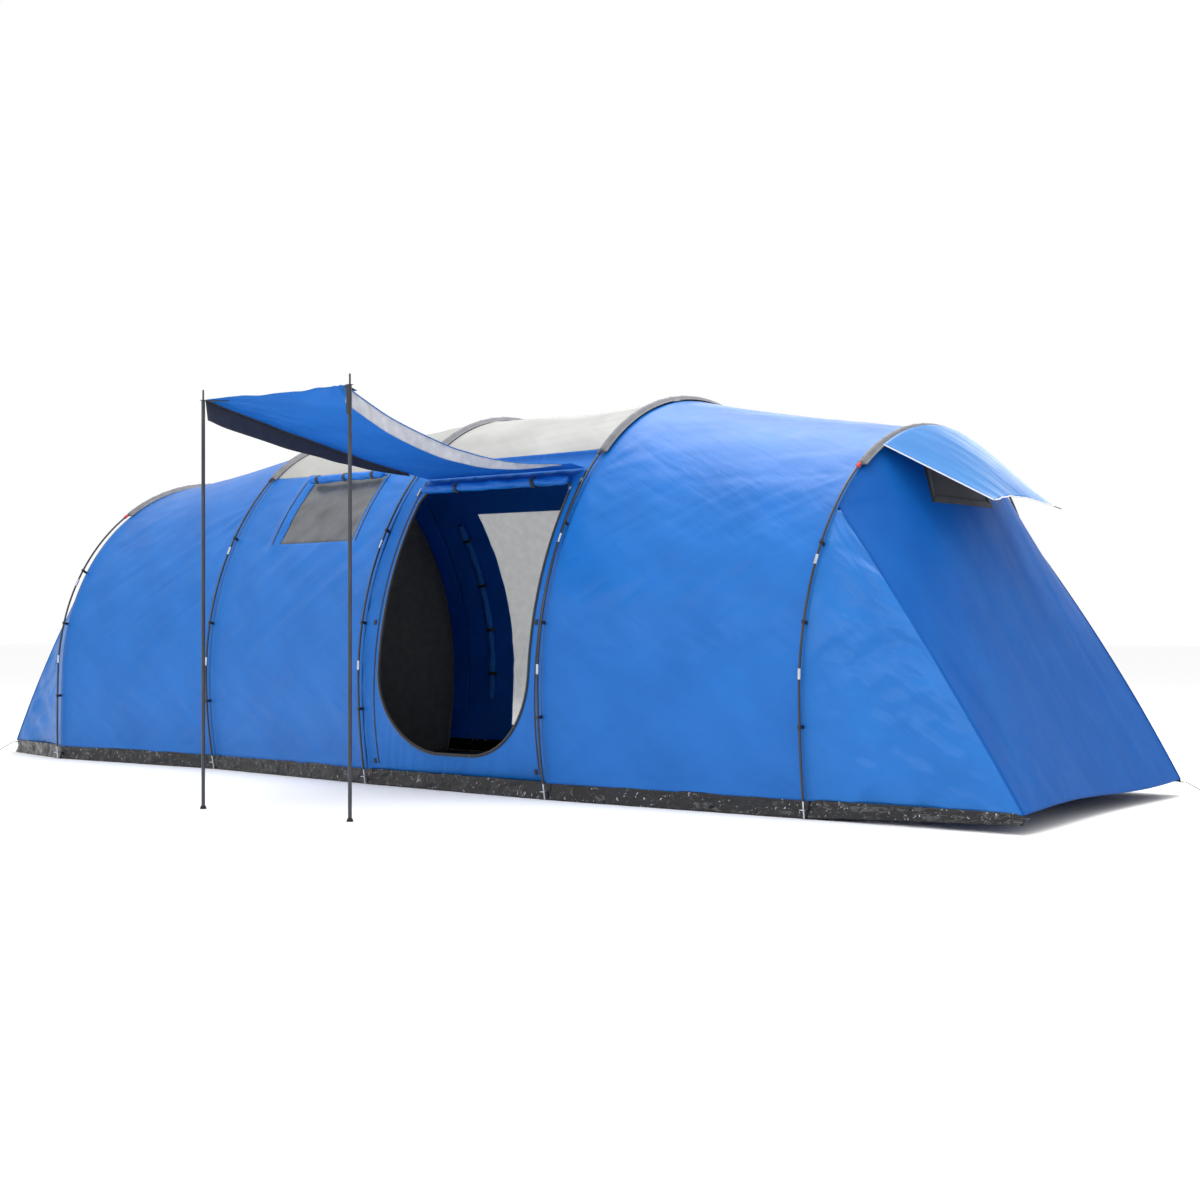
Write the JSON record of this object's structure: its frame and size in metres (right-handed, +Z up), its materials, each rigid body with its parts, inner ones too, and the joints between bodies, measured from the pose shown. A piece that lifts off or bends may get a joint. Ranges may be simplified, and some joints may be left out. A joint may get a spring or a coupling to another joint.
{
  "type": "tunnel tent",
  "caption": "Family tunnel tent on curved hoop poles, with sloping vented ends, inner bedrooms, a D-shaped door and a porch canopy raised on upright poles.",
  "frame": {"origin": "on the ground under the groundsheet, on the tunnel's centre line, midway between the two end hoops", "axes": "+X along the tunnel towards the more strongly sloping end, the porch door faces -Y, +Z up"},
  "size_m": [7.1593, 3.588, 1.954],
  "materials": {
    "fly_blue": "satin coated polyester",
    "roof_white": "satin coated polyester",
    "sleeve_grey": "matt woven polyester",
    "fibreglass_black": "satin",
    "steel_bright": "bright",
    "clip_black": "satin",
    "webbing_black": "matt webbing",
    "webbing_red": "matt webbing",
    "groundsheet_black": "glossy coated sheet",
    "mesh_black": "fine mesh",
    "mesh_pale": "fine mesh",
    "window_film": "tinted clear film",
    "inner_black": "matt woven",
    "pole_steel": "dark satin",
    "foot_rubber": "matt",
    "cord_black": "braided"
  },
  "bodies": {
    "root": {"bedroom_fly_left": "fly_blue", "bedroom_fly_right": "fly_blue", "bedroom_fronts": "inner_black", "bedroom_left": "inner_black", "bedroom_right": "inner_black", "canopy_corner_tabs": "webbing_black", "canopy_seam": "fly_blue", "corner_loops": "webbing_black", "corner_strap": "webbing_black", "door_binding": "webbing_black", "door_roll": "fly_blue", "end_panel_left": "fly_blue", "end_panel_right": "fly_blue", "foot_pins": "steel_bright", "foot_rings": "steel_bright", "foot_straps": "webbing_black", "groundsheet": "groundsheet_black", "hoop_clips": "clip_black", "hoop_ferrules": "steel_bright", "hoop_pole_1": "fibreglass_black", "hoop_pole_2": "fibreglass_black", "hoop_pole_3": "fibreglass_black", "hoop_pole_4": "fibreglass_black", "hoop_pole_5": "fibreglass_black", "mud_skirt": "groundsheet_black", "peg_cord_left": "cord_black", "peg_cord_right": "cord_black", "pole_sleeve_1": "sleeve_grey", "pole_sleeve_2": "sleeve_grey", "pole_sleeve_3": "sleeve_grey", "pole_sleeve_4": "sleeve_grey", "pole_sleeve_5": "sleeve_grey", "porch_pole_feet": "foot_rubber", "porch_pole_left": "pole_steel", "porch_pole_right": "pole_steel", "porch_pole_spigots": "pole_steel", "porch_wall": "fly_blue", "porch_zips": "clip_black", "rear_door_mesh": "mesh_pale", "rear_door_roll": "fly_blue", "rear_wall_porch_bay": "fly_blue", "rear_wall_window_bay": "fly_blue", "roll_ties": "webbing_black", "roof_porch_bay": "roof_white", "roof_window_bay": "roof_white", "sleeve_tabs": "webbing_red", "toggle_tabs": "webbing_black", "vent_meshes": "mesh_black", "window_curtain_roll": "fly_blue", "window_pane": "window_film", "window_wall": "fly_blue", "window_zips": "clip_black"},
    "canopy": {"canopy_panel": "fly_blue", "canopy_valance_left": "sleeve_grey", "canopy_valance_right": "sleeve_grey"},
    "hood_left": {"vent_hood_left": "fly_blue"},
    "hood_right": {"vent_hood_right": "fly_blue"},
    "slider_left": {"porch_zip_slider_left": "steel_bright"},
    "slider_right": {"porch_zip_slider_right": "steel_bright"},
    "slider_door": {"door_zip_slider": "steel_bright"}
  },
  "joints": [
    {"name": "canopy_swing", "type": "hinge", "parent": "root", "child": "canopy", "pos_m": [0, -0.84432, 1.56547], "axis": [1, 0, 0], "range_deg": [0, 62]},
    {"name": "vent_hood_left_tilt", "type": "hinge", "parent": "root", "child": "hood_left", "pos_m": [-2.63, 0, 1.592], "axis": [0, -1, 0], "range_deg": [0, 15]},
    {"name": "vent_hood_right_tilt", "type": "hinge", "parent": "root", "child": "hood_right", "pos_m": [2.7063, 0, 1.585], "axis": [0, 1, 0], "range_deg": [0, 15]},
    {"name": "porch_zip_left_travel", "type": "hinge", "parent": "root", "child": "slider_left", "pos_m": [0.128, 0.66101, 0.46238], "axis": [1, 0, 0], "range_deg": [0, 44.5]},
    {"name": "porch_zip_right_travel", "type": "hinge", "parent": "root", "child": "slider_right", "pos_m": [1.225, 0.66101, 0.46238], "axis": [1, 0, 0], "range_deg": [0, 44.5]},
    {"name": "door_zip_travel", "type": "hinge", "parent": "root", "child": "slider_door", "pos_m": [1.181, 0.66101, 0.46238], "axis": [1, 0, 0], "range_deg": [0, 26]}
  ]
}
